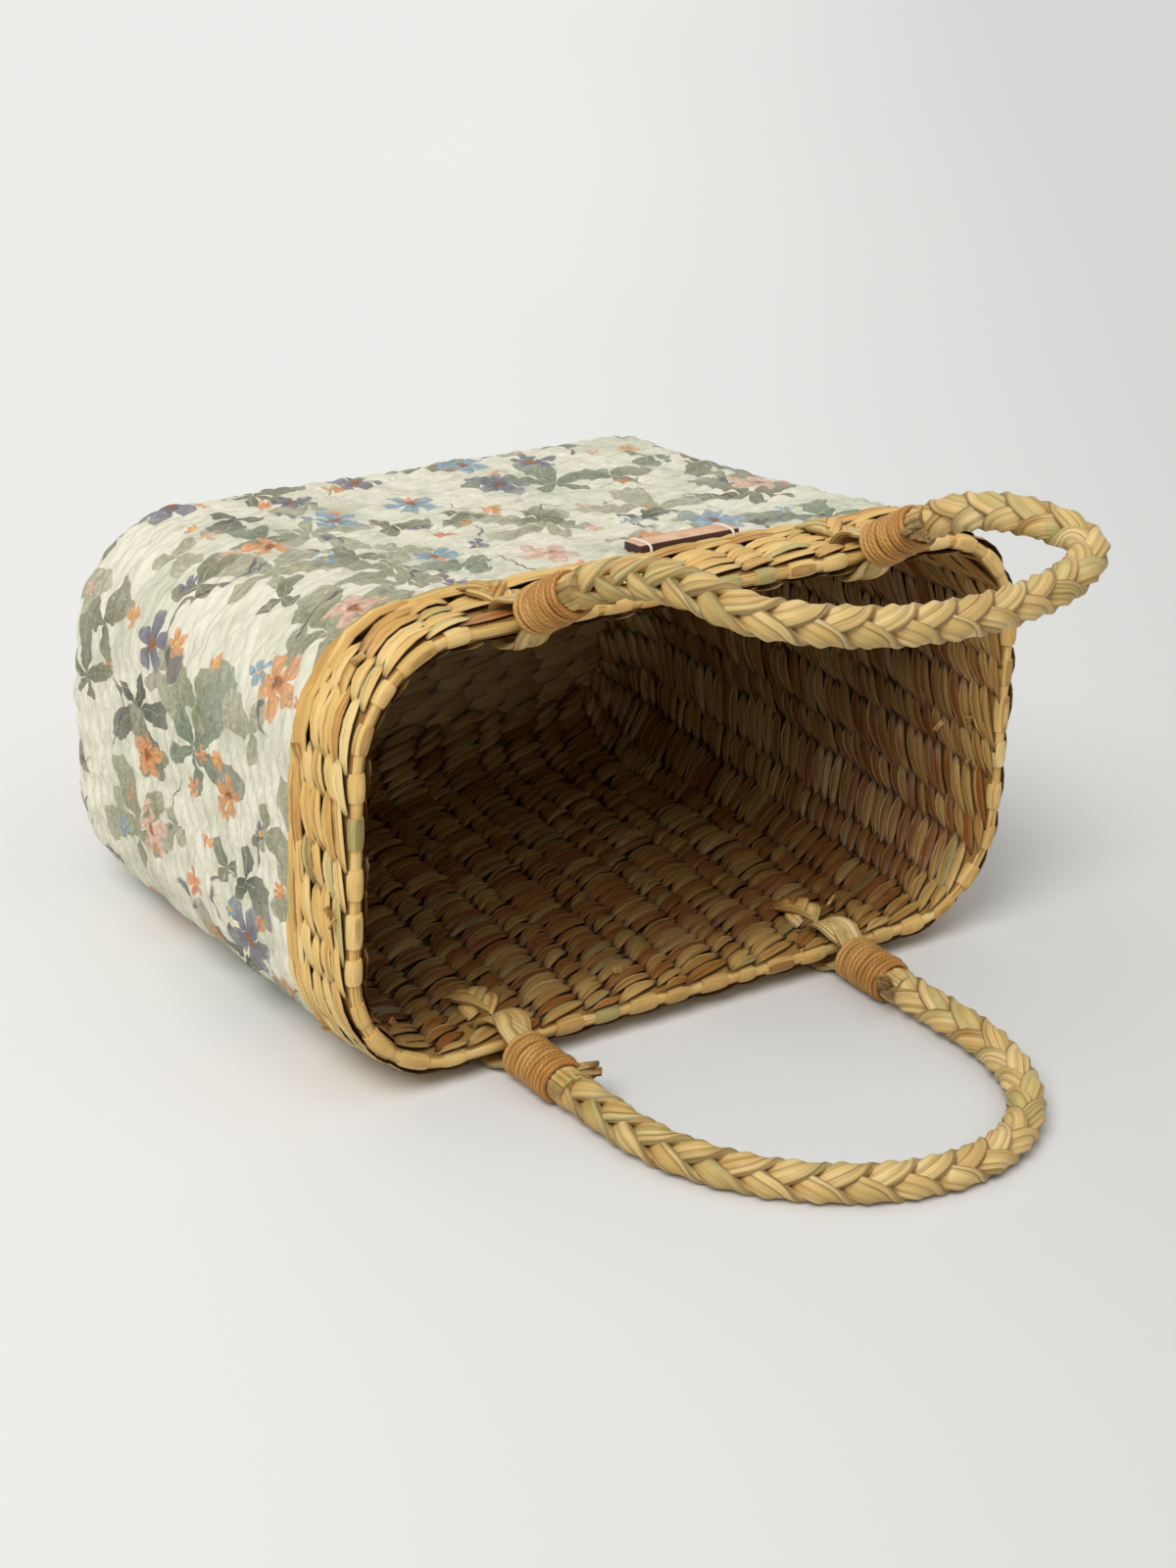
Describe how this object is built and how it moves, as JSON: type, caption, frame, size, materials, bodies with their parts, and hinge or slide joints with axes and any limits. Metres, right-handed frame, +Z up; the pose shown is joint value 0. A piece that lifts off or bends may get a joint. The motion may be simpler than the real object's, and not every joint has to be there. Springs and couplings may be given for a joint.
{
  "type": "woven basket bag",
  "caption": "Rounded rectangular woven reed basket bag with a printed cloth cover, a bare rim band, a blank leather tag and two swinging plaited handles, lying on its side.",
  "frame": {"origin": "middle of the footprint of the whole bag as it lies, at floor level", "axes": "+Z up from the floor, -Y out of the basket's mouth, +X along the basket's width"},
  "size_m": [0.3496, 0.4194, 0.2402],
  "materials": {
    "woven_reed": "satin",
    "plaited_reed": "satin",
    "lashing_twine": "satin",
    "printed_cloth": "matte",
    "tag_leather": "matte",
    "tag_thread": "matte"
  },
  "bodies": {
    "basket": {"base_mat": "woven_reed", "base_turn": "woven_reed", "leather_tag": "tag_leather", "printed_cover": "printed_cloth", "rim_border": "woven_reed", "stake_01": "woven_reed", "stake_02": "woven_reed", "stake_03": "woven_reed", "stake_04": "woven_reed", "stake_05": "woven_reed", "stake_06": "woven_reed", "stake_07": "woven_reed", "stake_08": "woven_reed", "stake_09": "woven_reed", "stake_10": "woven_reed", "stake_11": "woven_reed", "stake_12": "woven_reed", "stake_13": "woven_reed", "stake_14": "woven_reed", "stake_15": "woven_reed", "stake_16": "woven_reed", "stake_17": "woven_reed", "stake_18": "woven_reed", "stake_19": "woven_reed", "stake_20": "woven_reed", "tag_thread_left": "tag_thread", "tag_thread_right": "tag_thread", "wall_course_1": "woven_reed", "wall_course_2": "woven_reed", "wall_course_3": "woven_reed", "wall_course_4": "woven_reed", "wall_course_5": "woven_reed", "wall_course_6": "woven_reed", "wall_course_7": "woven_reed", "wall_course_8": "woven_reed"},
    "lower_handle": {"lower_lashing_left": "lashing_twine", "lower_lashing_right": "lashing_twine", "lower_plait": "plaited_reed"},
    "upper_handle": {"upper_lashing_left": "lashing_twine", "upper_lashing_right": "lashing_twine", "upper_plait": "plaited_reed"}
  },
  "joints": [
    {"name": "lower_handle_swing", "type": "hinge", "parent": "basket", "child": "lower_handle", "pos_m": [-0.006, -0.03726, 0.01137], "axis": [1, 0, 0], "range_deg": [-35, 100]},
    {"name": "upper_handle_swing", "type": "hinge", "parent": "basket", "child": "upper_handle", "pos_m": [-0.006, -0.02504, 0.18741], "axis": [-1, 0, 0], "range_deg": [-40, 70]}
  ]
}
